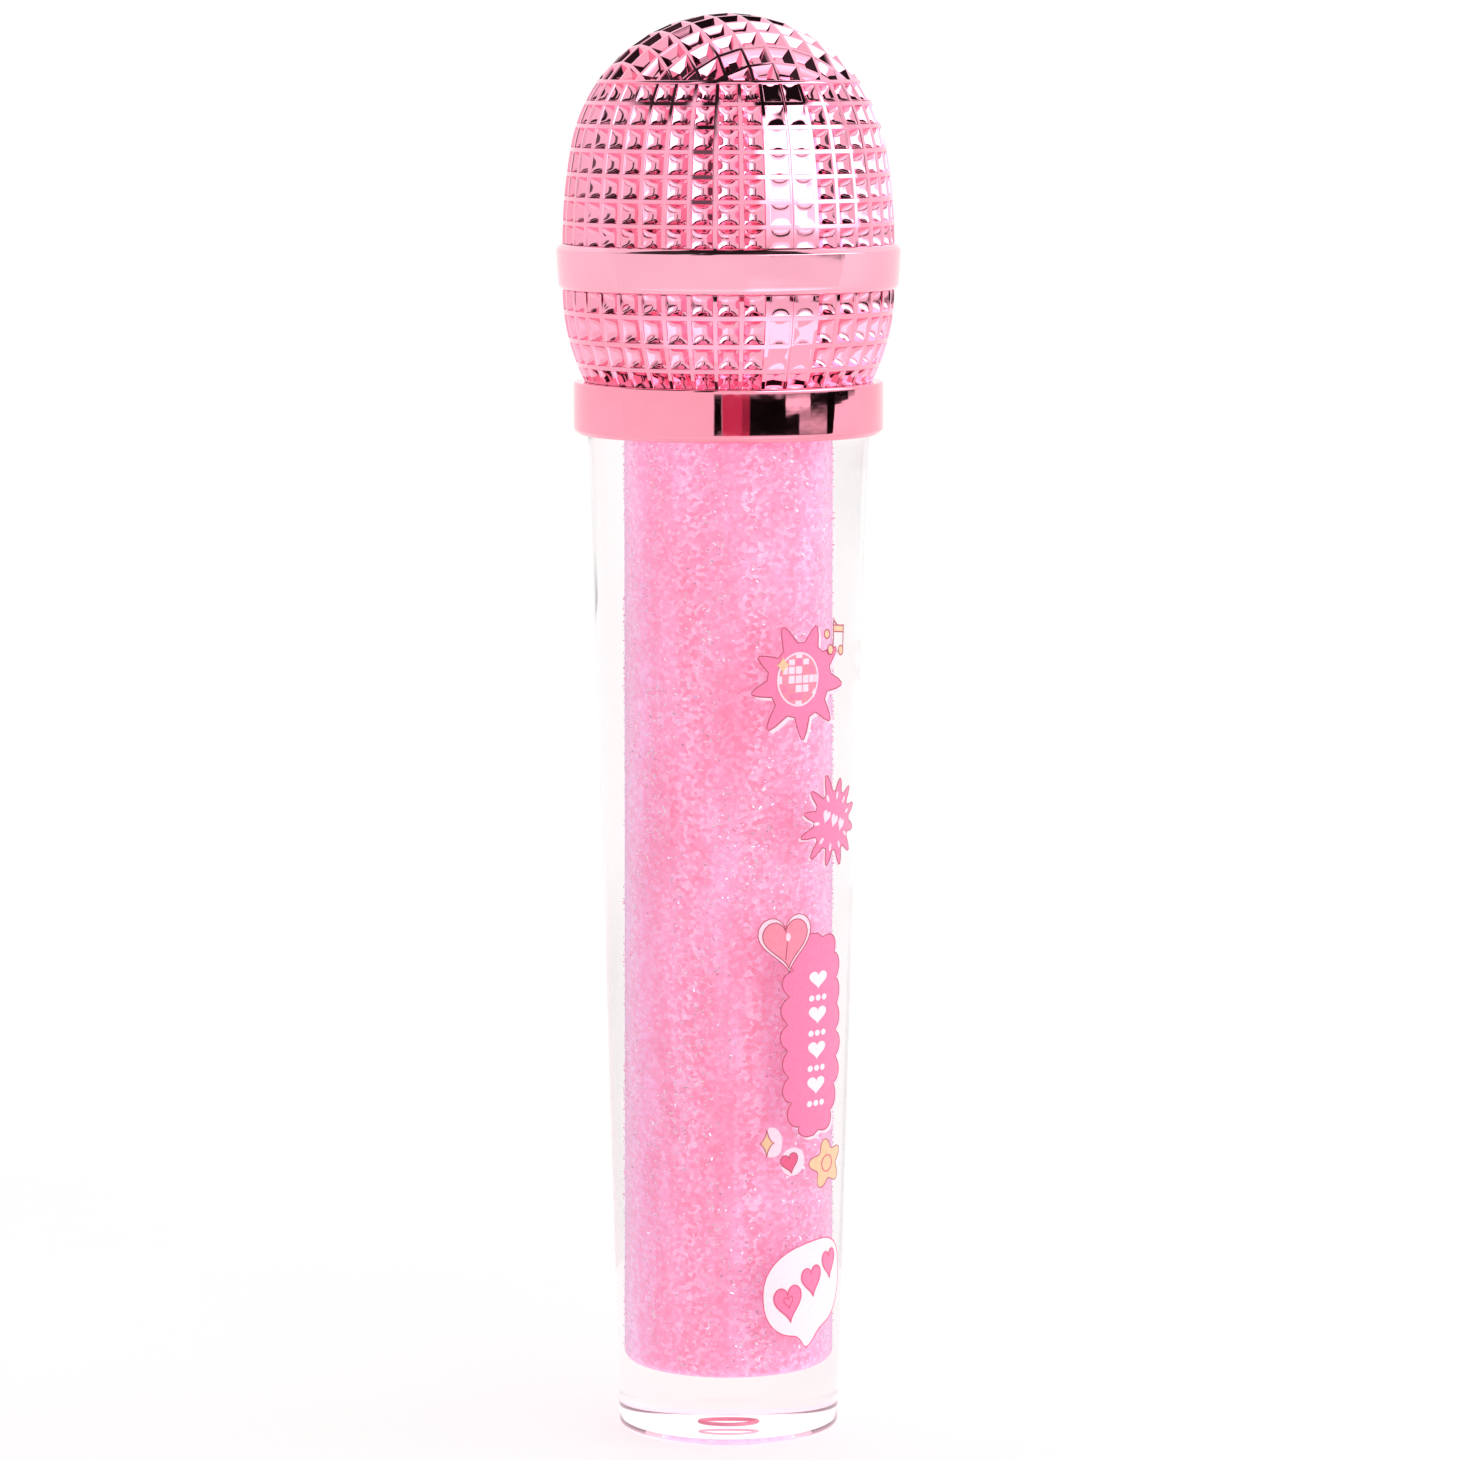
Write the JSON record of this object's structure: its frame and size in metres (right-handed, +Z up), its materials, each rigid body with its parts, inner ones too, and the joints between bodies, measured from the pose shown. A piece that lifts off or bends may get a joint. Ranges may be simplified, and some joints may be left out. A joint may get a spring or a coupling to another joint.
{
  "type": "microphone-shaped lip gloss tube",
  "caption": "Lip gloss tube shaped like a microphone: a metallised grille cap screws onto a thick clear tapered bottle and carries an applicator wand.",
  "frame": {"origin": "centre of the bottle's foot ring, on the surface the tube stands on", "axes": "+Z up along the tube's axis, from the foot to the top of the microphone head; -Y faces the viewer"},
  "size_m": [0.0288, 0.0288, 0.12],
  "materials": {
    "clear_plastic": "clear, polished",
    "glitter_gloss": "wet, with fine glitter",
    "soft_plastic": "satin",
    "washer_foam": "matt",
    "stem_plastic": "translucent, polished",
    "flocked_tip": "flocked",
    "plug_plastic": "satin",
    "grille_metallised": "mirror metallised",
    "band_metallised": "mirror metallised",
    "lower_grille_metallised": "mirror metallised",
    "collar_metallised": "mirror metallised"
  },
  "bodies": {
    "bottle_body": {"bottle": "clear_plastic", "wiper": "soft_plastic", "gloss_fill": "glitter_gloss"},
    "washer": {"liner": "washer_foam"},
    "wand": {"wand_stem": "stem_plastic", "applicator_tip": "flocked_tip"},
    "cap": {"inner_cap": "plug_plastic", "grille_dome": "grille_metallised", "centre_band": "band_metallised", "grille_base": "lower_grille_metallised", "collar": "collar_metallised"}
  },
  "joints": [
    {"name": "cap_pull", "type": "slide", "parent": "bottle_body", "child": "washer", "axis": [0, 0, 1], "range_m": [0, 0.095]},
    {"name": "thread_rise", "type": "slide", "parent": "washer", "child": "wand", "axis": [0, 0, 1], "range_m": [0, 0.0039]},
    {"name": "cap_turn", "type": "hinge", "parent": "wand", "child": "cap", "pos_m": [0, 0, 0.0886], "axis": [0, 0, 1], "range_deg": [0, 540]}
  ],
  "couplings": [
    {"joint": "thread_rise", "follows": "cap_turn", "m_per_rad": 0.0004138}
  ]
}
